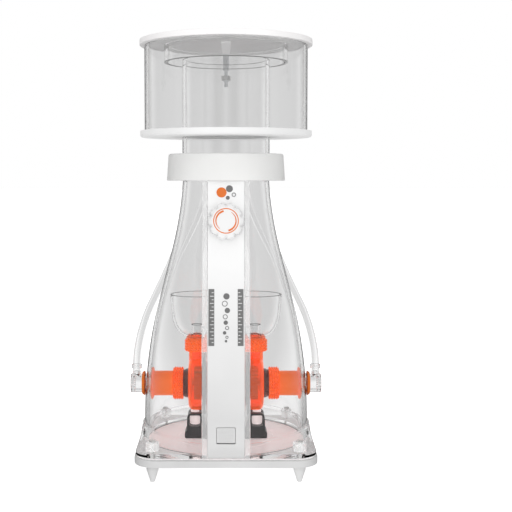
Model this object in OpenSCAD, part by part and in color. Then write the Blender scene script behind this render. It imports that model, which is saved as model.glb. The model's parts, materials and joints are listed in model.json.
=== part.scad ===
// In-sump protein skimmer: a clear bottle body with two pumps, a lift-off cup and a level knob.
// Frame: origin on the body's axis at the floor, +Z up, the front panel faces -Y.

/* [Base] */
// Width of the square base plate
base_w = 225; // [222:1:225]
// Corner radius of the base plate
base_corner_r = 28; // [22:1:32]
// Height of the feet under the base plate
foot_h = 22.8; // [18:0.2:26]
// Thickness of the base plate
base_t = 9.2; // [8:0.2:10]
// Distance of each foot and corner boss from both centre planes
corner_at = 90; // [86:1:92]

/* [Body] */
// Outer radius of the bottle at its foot
bottle_foot_r = 105.5; // [104:0.1:105.8]
// Outer radius of the bottle at its neck
bottle_neck_r = 55.4; // [54:0.1:55.6]
// Wall thickness of the bottle
bottle_wall = 4.5; // [3.5:0.1:5]
// Height at which the neck's curve ends
bottle_top = 372; // [370:1:374]

/* [Front panel] */
// Width of the white front panel
panel_w = 45; // [42:0.5:45.6]
// Thickness of the front panel
panel_t = 2.5; // [2:0.1:3]
// Thickness of each clear side wall of the duct
duct_wall = 6; // [4:0.5:7]
// Depth of the duct behind the panel's face
duct_depth = 16; // [15:0.5:18]

/* [Knob] */
// Height of the knob's centre
knob_z = 318; // [316:1:320]
// Outer radius of the knob over its lobes
knob_r = 22.5; // [20:0.5:23]
// Number of lobes round the knob
knob_lobes = 10; // [8:1:12]
// Backward tilt of the knob's axis, the slope of the panel there
knob_tilt = 8; // [7:0.5:9]
// Pitch radius of the pinion on the knob's shaft
pinion_r = 4.8; // [4.8:0.1:4.8]

/* [Pumps] */
// Height of the pump axis
pump_z = 104; // [102:1:106]
// Distance of the pump's outlet axis from the body's axis
outlet_x = 37.5; // [37:0.5:38]
// Outer radius of the volute
volute_r = 35; // [34:0.5:36]
// Radius of the needle wheel
wheel_r = 22; // [18:0.5:26]
// Outer radius of the intake tube
intake_r = 16; // [15.5:0.1:16]
// Radius of the ceramic shaft
shaft_r = 2; // [1.5:0.1:2.5]

/* [Cup and lid] */
// Outer radius of the collar at its lower edge
collar_r = 76.3; // [75:0.1:77]
// Outer radius of the riser tube
riser_r = 56.2; // [56.2:0.1:56.2]
// Outer radius of the cup's clear wall
cup_r = 104.6; // [103:0.1:105]
// Outer radius of the cup plate
cup_plate_r = 110.5; // [109:0.1:111]
// Outer radius of the lid
lid_r = 110.8; // [109:0.1:111]
// Height of the top of the lid
lid_top = 547.6; // [547:0.1:549]

/* [Hoses] */
// Outer radius of the air hoses
hose_r = 5.2; // [4.8:0.1:5.2]

/* [Hidden] */
$fn = 96;
small_fn = 32;

eps = 0.1;                          // overcut of a cutting solid
fit = 0.05;                         // radial clearance of running fits
screw_hole_r = 2.7;
plate_top = foot_h + base_t;
skirt_z = plate_top + 2;            // underside of the clear skirt, on the gasket
floor_r = 106.5;
floor_t = 2;
half_panel = panel_w / 2;
duct_in = 23;                       // inner half width of the duct
duct_out = duct_in + duct_wall;
collar_z = 368.3;
collar_top = 402.5;
ledge_z = 383;                      // the collar's ledge between the neck and the riser
curve_steps = 32;
riser_in = riser_r - 4;
riser_z = 385.2;
riser_top = 522.5;
cup_floor = 432;
cup_top = 540.5;
lid_z = 540.7;
switch_y = 87;
float_z = 504.6;
fitting_x = -116.5;                 // where the air hose meets the left fitting
fitting_hole_r = 11;
fitting_bore_r = 8;
volute_x = -48.6;                   // outer face of the left volute
volute_mouth_r = 12;
motor_x = -30;                      // face of the left motor plate
can_r = 28;
rotor_r = 10.5;
rotor_bore_r = 11.4;
flange_r = 17.6;                    // spigots inside the union nut
needle_rows = [[20.4, 22], [16.2, 18], [12, 14], [8, 9]];   // radius and number of pins of each row
union_x = -68.9;
foot_x = -40.5;                     // axis of the peg under the left pump
scale_x = 17.7;
scale_z = 169.8;
scale_h = 67.4;
mark_z = 345;
latch_z = 61.3;
spring_pitch = 1.75;
gate_z = -9.3;                      // back of the level gate, in the knob's frame
pinion_z = -6.7;
sides = [-1, 1];

// Point at t on a cubic curve with four control points
function curve(p, t) = pow(1 - t, 3) * p[0] + 3 * pow(1 - t, 2) * t * p[1]
    + 3 * (1 - t) * t * t * p[2] + pow(t, 3) * p[3];
function curve_points(p, n = curve_steps) = [for (i = [0:n]) curve(p, i / n)];
function reversed(v) = [for (i = [len(v) - 1:-1:0]) v[i]];

bottle_curve = [[bottle_foot_r, skirt_z], [110, 208], [62, 252], [bottle_neck_r, bottle_top]];
panel_curve = [[108.5, skirt_z], [104.6, 298.7], [87.1, 168], [69.5, collar_z]];
bowl_curve = [[12, 165], [33.5, 169], [33.5, 194], [35, 220.5]];
bowl_wall = 2.2;

// Parameter at which a rising curve reaches height z, found by bisection
function curve_t(p, z, a = 0, b = 1, n = 24) = n == 0 ? (a + b) / 2
    : curve(p, (a + b) / 2)[1] < z ? curve_t(p, z, (a + b) / 2, b, n - 1)
    : curve_t(p, z, a, (a + b) / 2, n - 1);
function panel_y(z) = -curve(panel_curve, curve_t(panel_curve, z))[0];

// The left hose's route; the right hose mirrors it
hose_route = [[-116.5, 0, 119.5], [-116.5, 0, 130], [-115.5, 3, 146], [-112, 9, 166], [-107, 15, 184],
    [-101, 21, 200], [-93, 28, 217], [-84, 35, 236], [-76, 41, 254], [-69, 46, 270], [-58, 52, 288],
    [-46, 56, 310], [-36, 58, 332], [-31, 58.5, 348], [-30, 58.5, 360]];
barb_at = [30, 58.5];
barb_z = 360;

function unit(v) = v / norm(v);
// Sweeps a round hose through a route's points; both ends stand upright
module tube(route, r, n_sides = 12) {
    last = len(route) - 1;
    ring = [for (i = [0:last])
        let (dir = i == 0 || i == last ? [0, 0, 1] : unit(route[i + 1] - route[i - 1]),
             u = unit(cross(dir, [0, 1, 0])), v = cross(dir, u))
        [for (k = [0:n_sides - 1]) let (a = 360 * k / n_sides) route[i] + r * (cos(a) * u + sin(a) * v)]];
    points = [for (g = ring) each g];
    walls = [for (i = [0:last - 1], k = [0:n_sides - 1])
        let (a = i * n_sides, m = (k + 1) % n_sides) [a + k, a + n_sides + k, a + n_sides + m, a + m]];
    foot = [for (k = [0:n_sides - 1]) k];
    head = [for (k = [n_sides - 1:-1:0]) last * n_sides + k];
    polyhedron(points, concat(walls, [foot, head]));
}

// Puts children, drawn for the left side, on one side or on both
module on_side(s) mirror([s > 0 ? 1 : 0, 0, 0]) children();
module both_sides() for (s = sides) on_side(s) children();
module at_corners() for (x = sides, y = sides) translate([x * corner_at, y * corner_at, 0]) children();
module tube_ring(r_out, r_in, h) difference() {
    cylinder(r = r_out, h = h);
    translate([0, 0, -eps]) cylinder(r = r_in, h = h + 2 * eps);
}
module rounded_square(w, r) {
    square([w - 2 * r, w], center = true);
    square([w, w - 2 * r], center = true);
    for (x = sides, y = sides) translate([x * (w / 2 - r), y * (w / 2 - r)]) circle(r = r);
}
// A cylinder or ring lying along X, from x0 towards the body's axis, on the left pump's axis
module along_x(x0) translate([x0, 0, pump_z]) rotate([0, 90, 0]) children();
// Extrudes a side outline of (y, z) points from x0 to x1
module side_plate(points, x0, x1) translate([x0, 0, 0]) rotate([90, 0, 90])
    linear_extrude(x1 - x0) polygon(points);
function panel_line(depth) = [for (p = curve_points(panel_curve)) [-p[0] + depth, p[1]]];
function panel_strip(d0, d1) = concat(panel_line(d0), reversed(panel_line(d1)));
module knurled(r, ribs, h, rib_r = 0.9) {
    cylinder(r = r - rib_r, h = h);
    for (i = [0:ribs - 1]) rotate(i * 360 / ribs) translate([r - rib_r, 0, 0])
        cylinder(r = rib_r, h = h, $fn = 20);
}
// Places children on the panel at the knob: local +Z out of the panel, +Y up along it
module on_panel() translate([0, panel_y(knob_z), knob_z]) rotate([90 - knob_tilt, 0, 0]) children();
module bottle_solid(inset = 0, extra = 0) rotate_extrude() polygon(concat(
    [[0, skirt_z - extra]],
    [for (p = curve_points(bottle_curve)) [p[0] - inset, p[1]]],
    [[bottle_neck_r - inset, ledge_z + extra], [0, ledge_z + extra]]));
module duct_space(grow = 0)
    side_plate(concat([[-140, skirt_z - 5], [-140, collar_z + 30], [-53.5, collar_z + 30]],
        reversed(panel_line(duct_depth)), [[-92.5, skirt_z - 5]]), -duct_in - grow, duct_in + grow);

module base_plate() color("whitesmoke") difference() {
    translate([0, 0, foot_h]) linear_extrude(base_t) rounded_square(base_w, base_corner_r);
    at_corners() translate([0, 0, foot_h - eps])
        cylinder(r = screw_hole_r, h = base_t + 2 * eps, $fn = small_fn);
    translate([-18, -104, foot_h - eps]) cube([36, 7, base_t + 2 * eps]);
}
module feet() color("gainsboro") at_corners() difference() {
    rotate_extrude() polygon([[0, 0], [2.6, 0], [3.6, 0.8], [7.5, 15.4], [7.5, foot_h - 1.6],
        [6.3, foot_h - 1.6], [6.3, foot_h], [0, foot_h]]);
    translate([0, 0, 11]) cylinder(r = 2.5, h = foot_h, $fn = small_fn);
}
module foot_rings() color("orangered") at_corners() translate([0, 0, foot_h - 1.5])
    tube_ring(7.9, 6.3, 1.4);
module corner_screws() color("silver") at_corners() difference() {
    union() {
        translate([0, 0, 11.5]) cylinder(r = 2.4, h = 37.5, $fn = small_fn);
        translate([0, 0, 49]) cylinder(r = 4.2, h = 2.6, $fn = small_fn);
    }
    translate([0, 0, 50]) cylinder(r = 2, h = 3, $fn = 6);
}
module base_skirt() color("lightcyan", 0.5) difference() {
    union() {
        difference() {
            hull() {
                translate([0, 0, skirt_z]) linear_extrude(4.5) rounded_square(base_w - 3, base_corner_r - 2);
                translate([0, 0, 53]) cylinder(r = 108.8, h = 1.5);
            }
            hull() {
                translate([0, 0, skirt_z + 4.5]) linear_extrude(0.5)
                    rounded_square(base_w - 11, base_corner_r - 5);
                translate([0, 0, 48]) cylinder(r = 107, h = 1);
            }
        }
        at_corners() translate([0, 0, skirt_z]) cylinder(r = 8.4, h = 49 - skirt_z);
    }
    translate([0, 0, skirt_z - eps]) cylinder(r = 106.1, h = 30);
    at_corners() translate([0, 0, skirt_z - eps]) cylinder(r = screw_hole_r, h = 30, $fn = small_fn);
    translate([-duct_out - 0.2, -109.5, skirt_z - eps]) cube([2 * duct_out + 0.4, 20, 30]);
}
module base_gasket() color("black") translate([0, 0, plate_top]) difference() {
    linear_extrude(2) rounded_square(base_w - 7, base_corner_r - 4);
    translate([0, 0, -eps]) cylinder(r = floor_r + 0.1, h = 3);
    at_corners() translate([0, 0, -eps]) cylinder(r = screw_hole_r, h = 3, $fn = small_fn);
}
module floor_disc() color("mistyrose") difference() {
    translate([0, 0, plate_top]) cylinder(r = floor_r, h = floor_t);
    translate([-19, -104.5, plate_top - eps]) cube([38, 8, floor_t + 1]);
}

module bottle() color("lightcyan", 0.35) difference() {
    bottle_solid();
    bottle_solid(bottle_wall, 1);
    duct_space(duct_wall);
    both_sides() along_x(-115) cylinder(r = fitting_hole_r, h = 30);
}
module duct_walls() color("lightcyan", 0.5) difference() {
    union() {
        for (x = [-duct_out, duct_in]) side_plate(panel_strip(0, duct_depth), x, x + duct_wall);
        side_plate(panel_strip(duct_depth - 3, duct_depth), -duct_in, duct_in);
    }
    translate([-14, -80, 284]) cube([28, 30, 16]);
}
module front_panel() color("white") difference() {
    union() {
        side_plate(panel_strip(0, panel_t), -half_panel, half_panel);
        on_panel() translate([0, 0, -2.8]) cylinder(r = 13, h = 4);
    }
    on_panel() translate([0, 0, -6]) cylinder(r = 4 + fit, h = 12, $fn = small_fn);
    translate([-11.6, -120, 51.1]) cube([23.2, 30, 20.4]);
}
module level_scales() color("dimgray") for (x = sides) difference() {
    intersection() {
        side_plate(panel_strip(-0.3, 0), x * scale_x - 3.5, x * scale_x + 3.5);
        translate([-40, -130, scale_z]) cube([80, 80, scale_h]);
    }
    for (i = [1:7]) translate([x * (scale_x + (i % 2 == 0 ? 0.2 : 1.4)) - 2, -130, scale_z + i * scale_h / 8])
        cube([4, 80, 0.9]);
}
// A generic mark: a ring of bubbles, and two plain bars lower down
module panel_mark() {
    color("orangered") for (i = [0:6]) intersection() {
        side_plate(panel_strip(-0.3, 0), -12, 12);
        translate([9 * sin(-84 + 28 * i), -60, mark_z + 9 * cos(-84 + 28 * i)]) rotate([90, 0, 0])
            cylinder(r = 1.2 + 0.25 * i, h = 30, $fn = small_fn);
    }
    color("dimgray") for (x = [-3.6, 1.8]) intersection() {
        side_plate(panel_strip(-0.3, 0), x, x + (x < 0 ? 3.2 : 1.2));
        translate([-12, -130, 176]) cube([24, 60, 54]);
    }
}
module gate_rails() color("white") on_panel() for (x = sides) difference() {
    translate([x * 21 - 1.8, -34, -11.2]) cube([3.6, 54, 8]);
    translate([x * 20.4 - 2, -40, -9.6]) cube([4, 70, 2.8]);
}
module level_gate() color("white") on_panel() union() {
    translate([-22.2, -20, gate_z]) cube([44.4, 32, 2.2]);
    translate([6.3, -16, gate_z + 2.1]) cube([4, 27, 3.9]);
    for (i = [-4:3]) translate([pinion_r, (i + 0.5) * 2 * PI * pinion_r / 8, gate_z + 2.1])
        linear_extrude(3.9)
        polygon([[1.7, -0.75], [1.7, 0.75], [-1, 0.35], [-1, -0.35]]);
}
module knob_shaft() color("silver") on_panel() union() {
    translate([0, 0, -3.3]) cylinder(r = 4, h = 9, $fn = small_fn);
    translate([0, 0, pinion_z]) cylinder(r = 3.1, h = 5, $fn = small_fn);
    for (i = [0:7]) rotate(i * 45) translate([0, 0, pinion_z]) linear_extrude(2.9)
        polygon([[2.8, -0.85], [2.8, 0.85], [5.8, 0.35], [5.8, -0.35]]);
}
module knob() color("white") on_panel() difference() {
    union() {
        translate([0, 0, 1.8]) cylinder(r = 18.6, h = 9);
        for (i = [0:knob_lobes - 1]) rotate((i + 0.5) * 360 / knob_lobes) translate([knob_r - 4.6, 0, 1.8]) {
            cylinder(r = 4.6, h = 8.4, $fn = 48);
            translate([0, 0, 8.4]) cylinder(r1 = 4.6, r2 = 3.4, h = 1.4, $fn = 48);
        }
        translate([0, 0, 10.8]) cylinder(r1 = 18.6, r2 = 17.4, h = 3.2);
    }
    translate([0, 0, 1.7]) cylinder(r = 4.02, h = 4.1, $fn = small_fn);
    translate([0, 0, 13]) tube_ring(15.2, 12.4, 2);
}
module knob_ring() color("orangered") on_panel() translate([0, 0, 13]) tube_ring(15.1, 12.5, 1.3);
module latch() color("white") union() {
    intersection() {
        side_plate(panel_strip(0, panel_t + 1.5), -11.4, 11.4);
        translate([-20, -120, 51.3]) cube([40, 40, 20]);
    }
    for (i = [0:8]) translate([-9.5, panel_y(61) - 0.45, 54.2 + i * 1.9]) cube([19, 1.5, 0.8]);
    translate([0, panel_y(61) + 4.6, latch_z]) rotate([90, 0, 0]) cylinder(r = 2, h = 2, $fn = small_fn);
}
module latch_spring() color("silver") for (i = [0:4])
    translate([0, panel_y(61) + 5.6 + i * spring_pitch, latch_z]) rotate([90, 0, 0]) tube_ring(3.4, 2.3, 0.7);

module collar() color("white") difference() {
    rotate_extrude() polygon([[55.9, collar_z], [collar_r, collar_z], [74.2, 399.5], [73.6, 401.8],
        [72, collar_top], [56.9, collar_top], [56.9, 385], [51, 385], [51, ledge_z], [55.9, ledge_z]]);
    translate([0, 0, collar_z - eps]) tube_ring(72.6, 60, 29.8);
    translate([0, 0, 392]) cylinder(r = 58.6, h = 3);
}
module collar_floor() color("white") difference() {
    translate([0, 0, collar_z]) tube_ring(72.5, 60.1, 3);
    for (x = sides) translate([x * barb_at[0], barb_at[1], collar_z - eps])
        cylinder(r = 4, h = 4, $fn = small_fn);
}
module foam_ring() color("darkslategray") translate([0, 0, collar_z + 4]) tube_ring(71.5, 61.2, 24);
module hose_barbs() color("lightgray") for (x = sides) translate([x * barb_at[0], barb_at[1], barb_z])
    difference() {
        union() {
            cylinder(r = hose_r, h = 3, $fn = small_fn);
            translate([0, 0, 3]) cylinder(r = 6.4, h = collar_z - barb_z - 3, $fn = 6);
            translate([0, 0, 3]) cylinder(r = 3.9, h = collar_z - barb_z - 0.2, $fn = small_fn);
        }
        translate([0, 0, -eps]) cylinder(r = 2.6, h = 20, $fn = small_fn);
    }
module neck_o_ring() color("black") translate([0, 0, 393.5]) rotate_extrude()
    translate([57.7, 0]) circle(r = 0.85, $fn = 24);
module hose_clips() color("lightgray") both_sides() translate([fitting_x, 0, 124]) difference() {
    tube_ring(hose_r + 1.7, hose_r + 0.1, 4.5);
    translate([-1, -10, -1]) cube([1.4, 10, 8]);
}
module air_hose_left() color("lightgray", 0.6) tube(hose_route, hose_r);
module air_hose_right() color("lightgray", 0.6) mirror([1, 0, 0]) tube(hose_route, hose_r);

module volute_shape() color("orangered", 0.9) difference() {
    union() {
        along_x(volute_x) cylinder(r1 = 33.4, r2 = volute_r, h = 3);
        along_x(-45.6) cylinder(r = volute_r, h = 15.6);
        difference() {
            translate([-outlet_x, 0, pump_z + 26]) cylinder(r = 11, h = 26);
            translate([motor_x, -20, pump_z + 20]) cube([20, 40, 20.2]);
        }
    }
    along_x(-45.6) cylinder(r = volute_r - 4, h = 16);
    along_x(-49) cylinder(r = volute_mouth_r, h = 10);
    translate([-outlet_x, 0, pump_z]) cylinder(r = 7, h = 60);
}
module volute_left() on_side(-1) volute_shape();
module volute_right() on_side(1) volute_shape();
module inlet_flange_shape() color("saddlebrown") difference() {
    union() {
        along_x(-53.4) cylinder(r1 = 18, r2 = 19.5, h = 4.8);
        along_x(-60) cylinder(r = flange_r, h = 6.7);
    }
    along_x(-61) cylinder(r = volute_mouth_r, h = 14);
}
module inlet_flange_left() on_side(-1) inlet_flange_shape();
module inlet_flange_right() on_side(1) inlet_flange_shape();
module needle_wheel_shape() color("lightgray") difference() {
    union() {
        along_x(-33.4) cylinder(r = wheel_r, h = 2);
        along_x(-41) cylinder(r = 4.5, h = 8);
        for (row = needle_rows, k = [0:row[1] - 1])
            along_x(-42) rotate(k * 360 / row[1]) translate([row[0], 0, 0])
                cylinder(r = 0.9, h = 8.8, $fn = 16);
    }
    along_x(-45) cylinder(r = shaft_r + fit, h = 20, $fn = small_fn);
}
module needle_wheel_left() on_side(-1) needle_wheel_shape();
module needle_wheel_right() on_side(1) needle_wheel_shape();
module magnet_rotor_shape() color("dimgray") difference() {
    union() {
        along_x(-31.4) cylinder(r = 5, h = 6);
        along_x(-26) cylinder(r = rotor_r, h = 18);
    }
    along_x(-35) cylinder(r = shaft_r + fit, h = 40, $fn = small_fn);
}
module magnet_rotor_left() on_side(-1) magnet_rotor_shape();
module magnet_rotor_right() on_side(1) magnet_rotor_shape();
module motor_can_shape() color("dimgray") difference() {
    union() {
        along_x(-27) cylinder(r = can_r, h = 22);
        along_x(-5) cylinder(r1 = can_r, r2 = can_r - 2.5, h = 2);
        for (i = [0:23]) along_x(-24) rotate(i * 15) translate([can_r, 0, 0])
            cylinder(r = 1.2, h = 18, $fn = 20);
    }
    along_x(-27.1) cylinder(r = rotor_bore_r, h = 20.1);
    along_x(-8) cylinder(r = shaft_r + 0.01, h = 3, $fn = small_fn);
    translate([-15, 0, pump_z + 20]) cylinder(r = 3.2, h = 20, $fn = small_fn);
}
module motor_can_left() on_side(-1) motor_can_shape();
module motor_can_right() on_side(1) motor_can_shape();
module motor_plates() color("black") both_sides() difference() {
    along_x(motor_x) cylinder(r = 40, h = 3);
    along_x(-31) cylinder(r = rotor_bore_r, h = 6);
}
module ceramic_shafts() color("white") both_sides() along_x(-47.5)
    cylinder(r = shaft_r, h = 41.5, $fn = small_fn);
module shaft_bushes() color("black") both_sides() {
    difference() {
        union() {
            along_x(-48.4) cylinder(r = 3.6, h = 5.2, $fn = small_fn);
            for (a = [0:120:240]) along_x(-48.2) rotate(a) translate([2.5, -0.8, 0]) cube([9.4, 1.6, 2.4]);
        }
        along_x(-47.5) cylinder(r = shaft_r, h = 6, $fn = small_fn);
    }
    difference() {
        along_x(-7.9) cylinder(r = 3.6, h = 0.9, $fn = small_fn);
        along_x(-8) cylinder(r = shaft_r, h = 3, $fn = small_fn);
    }
}
module cord_glands() color("black") both_sides() translate([-15, 0, pump_z + 20]) difference() {
    union() {
        cylinder(r = 3.1, h = 10, $fn = small_fn);
        translate([0, 0, 9.6]) cylinder(r = 6, h = 4, $fn = 6);
        translate([0, 0, 13.6]) cylinder(r1 = 5, r2 = 3.4, h = 5, $fn = small_fn);
    }
    translate([0, 0, 6]) cylinder(r = 1.8, h = 20, $fn = small_fn);
}
module outlet_nut_shape() color("orangered") difference() {
    translate([-outlet_x, 0, 147]) union() {
        knurled(16.6, 30, 14.6);
        translate([0, 0, 14]) cylinder(r = 14.4, h = 3.2);
    }
    translate([-outlet_x, 0, 146]) cylinder(r = 11.4, h = 12.2);
    translate([-outlet_x, 0, 150]) cylinder(r = 9.9, h = 20);
}
module outlet_nut_left() on_side(-1) outlet_nut_shape();
module outlet_nut_right() on_side(1) outlet_nut_shape();
module bubble_bowl_shape() color("lightcyan", 0.4) translate([-outlet_x, 0, 0]) union() {
    rotate_extrude() polygon(concat(
        [[6.2, 165]], curve_points(bowl_curve, 20), [[35 - bowl_wall, 220.5]],
        reversed([for (p = curve_points(bowl_curve, 20)) if (p[1] < 217)
            [p[0] - bowl_wall, p[1] + bowl_wall * 0.8]]), [[6.2, 166.7]]));
    rotate_extrude() polygon([[6.2, 156.1], [11, 156.1], [11, 157.9], [9.5, 157.9],
        [9.5, 165.6], [6.2, 165.6]]);
    translate([0, 0, 165.5]) tube_ring(7.6, 6.2, 15.5);
}
module bubble_bowl_left() on_side(-1) bubble_bowl_shape();
module bubble_bowl_right() on_side(1) bubble_bowl_shape();
module union_nut_shape() color("orangered") difference() {
    along_x(union_x) union() {
        cylinder(r1 = 20, r2 = 20.6, h = 1.2);
        translate([0, 0, 1.2]) knurled(21.2, 36, 12.3);
    }
    along_x(-70) cylinder(r = intake_r + 0.4, h = 20);
    along_x(-62.9) cylinder(r = 18, h = 20);
}
module union_nut_left() on_side(-1) union_nut_shape();
module union_nut_right() on_side(1) union_nut_shape();
module intake_tubes() color("chocolate") both_sides() difference() {
    union() {
        along_x(-94) cylinder(r = intake_r, h = 33.9);
        along_x(-62.5) cylinder(r = flange_r, h = 2.4);
    }
    along_x(-95) cylinder(r = intake_r - 3, h = 40);
}
module bulkhead_flanges() color("orangered") both_sides() difference() {
    intersection() {
        along_x(-102) cylinder(r = 20.8, h = 12);
        bottle_solid(bottle_wall + 0.15);
    }
    along_x(-94) cylinder(r = intake_r + 0.02, h = 20);
    along_x(-110) cylinder(r = fitting_hole_r, h = 30);
}
module saddle_washers() color("chocolate") both_sides() difference() {
    union() {
        along_x(-109.2) cylinder(r1 = 14.2, r2 = 16.3, h = 3);
        along_x(-106.2) cylinder(r1 = 16.3, r2 = 13, h = 1.6);
        along_x(-104.8) cylinder(r = 12.4, h = 6);
    }
    bottle_solid(-0.05);
    along_x(-112) cylinder(r = 10.9, h = 30);
}
module air_fittings() color("lightcyan", 0.5) both_sides() difference() {
    union() {
        along_x(-124.3) knurled(12.5, 20, 5, 1);
        along_x(-119.5) cylinder(r = 12, h = 10.2);
        along_x(-110) cylinder(r = 10.8, h = 17.8);
        translate([fitting_x, 0, pump_z + 6]) cylinder(r = hose_r, h = 9.5, $fn = small_fn);
    }
    along_x(-125) cylinder(r = fitting_bore_r, h = 40);
    translate([fitting_x, 0, pump_z + 2]) cylinder(r = 2.6, h = 20, $fn = small_fn);
}
module pump_feet() color("black") both_sides() difference() {
    intersection() {
        translate([-53.5, 0, 0]) rotate([90, 0, 0]) translate([0, 0, -15]) linear_extrude(30)
            polygon([[1, 34], [0, 38], [6.5, 66], [10, 68], [20, 68], [23.5, 66], [30.5, 38], [29.5, 34]]);
        translate([-60, 0, 0]) rotate([90, 0, 90]) linear_extrude(40)
            polygon([[-14, 34], [-15, 38], [-12, 66], [-10, 68], [10, 68], [12, 66], [15, 38], [14, 34]]);
    }
    along_x(-70) cylinder(r = volute_r + 0.3, h = 60);
    along_x(-30.2) cylinder(r = 40.2, h = 10);
    translate([foot_x, 0, 50]) cylinder(r = 7.5, h = 30);
    translate([-48, -20, 50]) cube([15, 20, 14.5]);
}
module foot_pegs() color("mistyrose") both_sides() difference() {
    translate([foot_x, 0, 50]) union() {
        cylinder(r = 6.9, h = 13);
        translate([0, 0, 13]) cylinder(r = 5.6, h = 10);
    }
    along_x(-70) cylinder(r = volute_r + 0.1, h = 60);
}

module cup_plate() color("white") rotate_extrude() polygon([[riser_r + fit, 424], [103.5, 424], [104.5, 427],
    [cup_plate_r - 1, 427], [cup_plate_r, 428], [cup_plate_r, 431], [cup_plate_r - 1, cup_floor],
    [riser_r + fit, cup_floor]]);
module cup_wall() color("lightcyan", 0.35) translate([0, 0, cup_floor])
    tube_ring(cup_r, cup_r - 4.6, cup_top - cup_floor);
module riser() color("lightcyan", 0.35) translate([0, 0, riser_z])
    tube_ring(riser_r, riser_in, riser_top - riser_z);
module lid() color("white") union() {
    rotate_extrude() polygon([[0, lid_z], [lid_r - 1.2, lid_z], [lid_r, lid_z + 1.4],
        [lid_r, lid_top - 2], [lid_r - 0.6, lid_top - 0.6], [lid_r - 2, lid_top], [0, lid_top]]);
    intersection() {
        translate([-24, -112.5, lid_z]) cube([48, 20, 6]);
        translate([0, 0, lid_z]) cylinder(r = 114.5, h = 10);
    }
}
module lid_ring() color("lightcyan", 0.4) translate([0, 0, 519]) tube_ring(79.3, 75.3, lid_z - 519);
module float_switch() color("lightgray") translate([0, switch_y, 0]) union() {
    translate([0, 0, 517.6]) cylinder(r = 4.75, h = lid_z - 517.6, $fn = small_fn);
    translate([0, 0, 495.8]) cylinder(r = 2.85, h = 24, $fn = small_fn);
    translate([0, 0, float_z - 2]) cylinder(r = 4.6, h = 2, $fn = small_fn);
}
module float() color("white") translate([0, switch_y, float_z]) tube_ring(6.9, 2.95, 6.1);

base_plate();
feet();
foot_rings();
corner_screws();
base_skirt();
base_gasket();
floor_disc();
bottle();
duct_walls();
front_panel();
level_scales();
panel_mark();
gate_rails();
level_gate();
knob_shaft();
knob();
knob_ring();
latch();
latch_spring();
collar();
collar_floor();
foam_ring();
hose_barbs();
neck_o_ring();
hose_clips();
air_hose_left();
air_hose_right();
volute_left();
volute_right();
inlet_flange_left();
inlet_flange_right();
needle_wheel_left();
needle_wheel_right();
magnet_rotor_left();
magnet_rotor_right();
motor_can_left();
motor_can_right();
motor_plates();
ceramic_shafts();
shaft_bushes();
cord_glands();
outlet_nut_left();
outlet_nut_right();
bubble_bowl_left();
bubble_bowl_right();
union_nut_left();
union_nut_right();
intake_tubes();
bulkhead_flanges();
saddle_washers();
air_fittings();
pump_feet();
foot_pegs();
cup_plate();
cup_wall();
riser();
lid();
lid_ring();
float_switch();
float();
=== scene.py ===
"""Looks of the protein skimmer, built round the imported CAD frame.

Blender's own lengths are in metres. Outlines, paths and driving sizes are in mm, and MM scales them.
"""

import json
from math import atan2, cos, exp, pi, radians, sin, sqrt, tan

import bmesh
import bpy
from mathutils import Matrix, Vector


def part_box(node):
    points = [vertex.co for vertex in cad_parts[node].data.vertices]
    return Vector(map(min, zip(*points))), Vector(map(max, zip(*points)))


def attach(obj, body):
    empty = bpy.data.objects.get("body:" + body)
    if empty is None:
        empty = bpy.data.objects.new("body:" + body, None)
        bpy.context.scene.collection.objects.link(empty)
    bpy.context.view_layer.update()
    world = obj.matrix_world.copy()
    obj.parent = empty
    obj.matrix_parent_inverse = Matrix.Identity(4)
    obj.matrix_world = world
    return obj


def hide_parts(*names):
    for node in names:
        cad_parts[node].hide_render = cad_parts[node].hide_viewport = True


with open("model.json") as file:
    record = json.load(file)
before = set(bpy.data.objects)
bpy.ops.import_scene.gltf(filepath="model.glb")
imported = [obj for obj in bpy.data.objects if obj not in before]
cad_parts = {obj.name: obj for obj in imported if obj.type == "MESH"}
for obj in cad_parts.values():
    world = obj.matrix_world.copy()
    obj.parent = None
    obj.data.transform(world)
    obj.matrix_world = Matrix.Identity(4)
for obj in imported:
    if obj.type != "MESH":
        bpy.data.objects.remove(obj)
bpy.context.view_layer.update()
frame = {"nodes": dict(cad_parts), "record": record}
nodes = frame["nodes"]
MM = 0.001
scene = bpy.context.scene


# -------- shader helpers
NOISE_LOW, NOISE_HIGH = 0.3, 0.7  # the share of a noise texture's range that it mostly stays in
WHITE = (1, 1, 1, 1)


def rgba(tone):
    """A colour for a socket; a single number is a grey."""
    return (*tone, 1) if isinstance(tone, tuple) else (tone, tone, tone, 1)


def fill(tree, node, inputs):
    """Links another node's output to an input, or puts a constant on the node's own socket."""
    for socket, value in inputs.items():
        if isinstance(value, bpy.types.NodeSocket):
            tree.links.new(value, node.inputs[socket])
        else:
            node.inputs[socket].default_value = value


def add(tree, kind, inputs, operation=None):
    """A new shader node with its inputs filled."""
    node = tree.nodes.new("ShaderNode" + kind)
    if operation:
        node.operation = operation
    fill(tree, node, inputs)
    return node


def ramp(tree, share, stops):
    """A colour ramp through (position, tone) stops."""
    node = add(tree, "ValToRGB", {"Fac": share})
    elements = node.color_ramp.elements
    while len(elements) < len(stops):
        elements.new(0.5)
    for element, (position, tone) in zip(elements, stops):
        element.position = position
        element.color = rgba(tone)
    return node.outputs["Color"]


def object_point(tree):
    return add(tree, "TexCoord", {}).outputs["Object"]


def noise(tree, scale, detail=3.0, stretch=(1, 1, 1)):
    """Noise over the object's own coordinates; scale is in features a metre."""
    mapping = add(tree, "Mapping", {"Vector": object_point(tree), "Scale": stretch})
    texture = add(tree, "TexNoise", {"Vector": mapping.outputs["Vector"], "Scale": scale, "Detail": detail})
    return texture.outputs["Fac"]


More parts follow.
